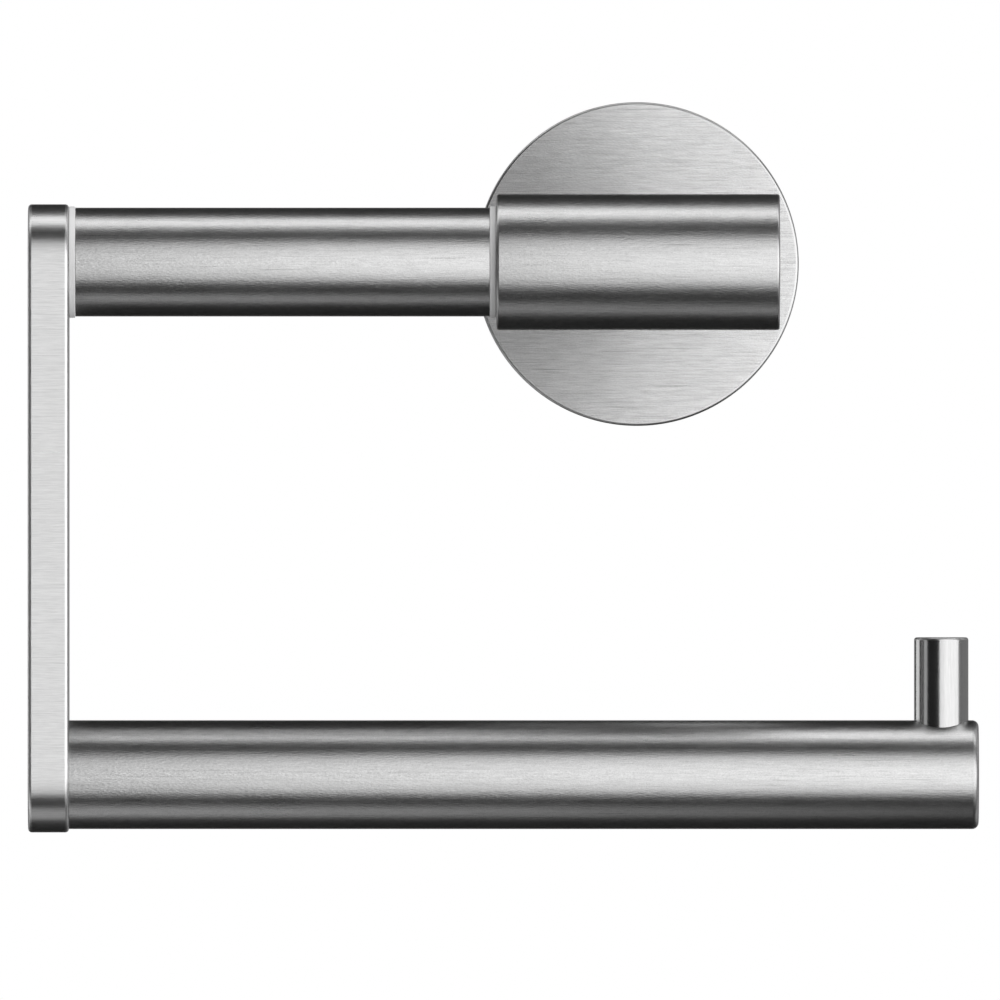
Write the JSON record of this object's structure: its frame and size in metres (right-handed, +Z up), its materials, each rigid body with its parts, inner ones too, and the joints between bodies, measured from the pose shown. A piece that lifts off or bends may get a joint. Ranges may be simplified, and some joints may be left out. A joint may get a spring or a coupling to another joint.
{
  "type": "toilet paper holder",
  "caption": "Wall-mounted brushed steel toilet paper holder: round rosette, hub with a swinging arm, loose upper sleeve, flat side plate, and a roll bar with an upright stop pin.",
  "frame": {"origin": "centre of the wall plate's back face, which lies on the wall", "axes": "+X to the viewer's right along the bars, towards the roll bar's free end; +Y into the wall; +Z up"},
  "size_m": [0.1398, 0.0715, 0.1079],
  "materials": {
    "brushed_steel": "brushed stainless steel, satin",
    "turned_steel": "turned stainless steel",
    "plate_steel": "stamped steel, bare",
    "screw_steel": "stainless steel screws",
    "white_nylon": "white nylon, matt"
  },
  "bodies": {
    "wall_mount": {"wall_plate": "plate_steel", "rosette": "brushed_steel", "rosette_grub_screw": "screw_steel", "neck": "brushed_steel", "neck_screw": "screw_steel", "hub": "brushed_steel", "hub_bush_outer": "white_nylon", "hub_bush_inner": "white_nylon", "axle_retainer_screw": "screw_steel"},
    "arm": {"axle": "turned_steel", "side_plate": "brushed_steel", "axle_grub_screw": "screw_steel", "bar_grub_screw": "screw_steel", "roll_bar": "brushed_steel", "bar_root_plug": "turned_steel", "bar_end_plug": "brushed_steel", "end_pin": "brushed_steel"},
    "sleeve": {"sleeve_tube": "brushed_steel", "sleeve_bush_left": "white_nylon", "sleeve_bush_right": "white_nylon"}
  },
  "joints": [
    {"name": "arm_swing", "type": "hinge", "parent": "wall_mount", "child": "arm", "pos_m": [0, -0.0615, 0], "axis": [-1, 0, 0], "range_deg": [-44, 224]},
    {"name": "sleeve_spin", "type": "hinge", "parent": "arm", "child": "sleeve", "pos_m": [-0.05228, -0.0615, 0], "axis": [1, 0, 0], "continuous": true}
  ]
}
